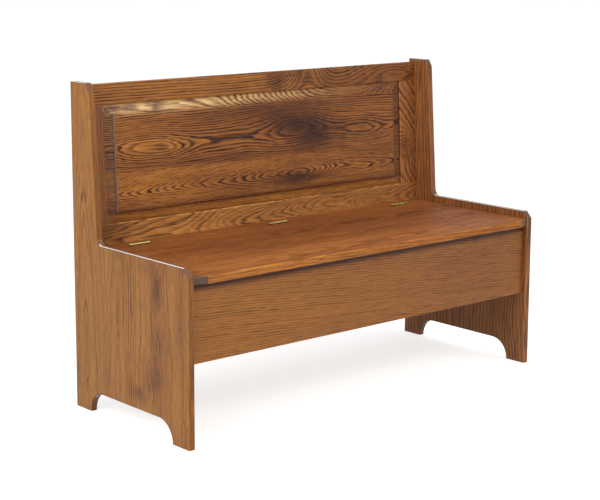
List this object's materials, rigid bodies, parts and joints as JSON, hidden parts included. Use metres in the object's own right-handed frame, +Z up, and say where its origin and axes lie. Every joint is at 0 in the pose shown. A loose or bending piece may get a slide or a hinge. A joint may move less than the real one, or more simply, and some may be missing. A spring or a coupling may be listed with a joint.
{
  "type": "settle bench",
  "caption": "Wooden settle bench with shaped end panels, a leaning framed back with a raised panel, and a seat lid on butt hinges over a storage box.",
  "frame": {"origin": "on the floor, under the middle of the whole bench's bounding box", "axes": "+X along the bench towards its right end as seen from the front, +Y from the front towards the back, +Z up"},
  "size_m": [1.219, 0.494, 0.845],
  "materials": {
    "end_oak": "brown stained oak, satin lacquer, upright grain",
    "back_frame_oak": "brown stained oak, satin lacquer",
    "back_panel_oak": "brown stained oak, satin lacquer, level grain",
    "seat_oak": "brown stained oak, satin lacquer, level grain",
    "apron_oak": "brown stained oak, satin lacquer, level grain",
    "inner_oak": "oak with a thin coat of stain, matt",
    "dowel_beech": "plain beech",
    "hinge_brass": "brass, slightly dulled",
    "screw_steel": "plain steel"
  },
  "bodies": {
    "bench": {"left_end_panel": "end_oak", "right_end_panel": "end_oak", "back_top_rail": "back_frame_oak", "back_bottom_rail": "back_frame_oak", "back_left_stile": "back_frame_oak", "back_right_stile": "back_frame_oak", "back_raised_panel": "back_panel_oak", "back_frame_dowels": "dowel_beech", "seat_rear_strip": "seat_oak", "seat_strip_cleat": "inner_oak", "seat_strip_dowels": "dowel_beech", "box_back_board": "apron_oak", "box_back_dowels": "dowel_beech", "front_apron": "apron_oak", "apron_dowels": "dowel_beech", "box_floor": "inner_oak", "floor_cleat_left": "inner_oak", "floor_cleat_right": "inner_oak", "floor_cleat_front": "inner_oak", "floor_cleat_back": "inner_oak", "seat_cleat_left": "inner_oak", "seat_cleat_right": "inner_oak", "corner_block_front_left": "inner_oak", "corner_block_front_right": "inner_oak", "corner_block_back_left": "inner_oak", "corner_block_back_right": "inner_oak", "side_cleat_screws": "screw_steel", "long_cleat_screws": "screw_steel", "hinge_1_fixed_leaf": "hinge_brass", "hinge_2_fixed_leaf": "hinge_brass", "hinge_3_fixed_leaf": "hinge_brass", "hinge_1_pin": "hinge_brass", "hinge_2_pin": "hinge_brass", "hinge_3_pin": "hinge_brass", "hinge_screws_fixed": "screw_steel"},
    "lid": {"seat_lid": "seat_oak", "lid_batten_left": "inner_oak", "lid_batten_middle": "inner_oak", "lid_batten_right": "inner_oak", "lid_batten_screws": "screw_steel", "hinge_1_lid_leaf": "hinge_brass", "hinge_2_lid_leaf": "hinge_brass", "hinge_3_lid_leaf": "hinge_brass", "hinge_screws_lid": "screw_steel"}
  },
  "joints": [
    {"name": "lid_hinge", "type": "hinge", "parent": "bench", "child": "lid", "pos_m": [0, 0.15773, 0.4255], "axis": [-1, 0, 0], "range_deg": [0, 100]}
  ]
}
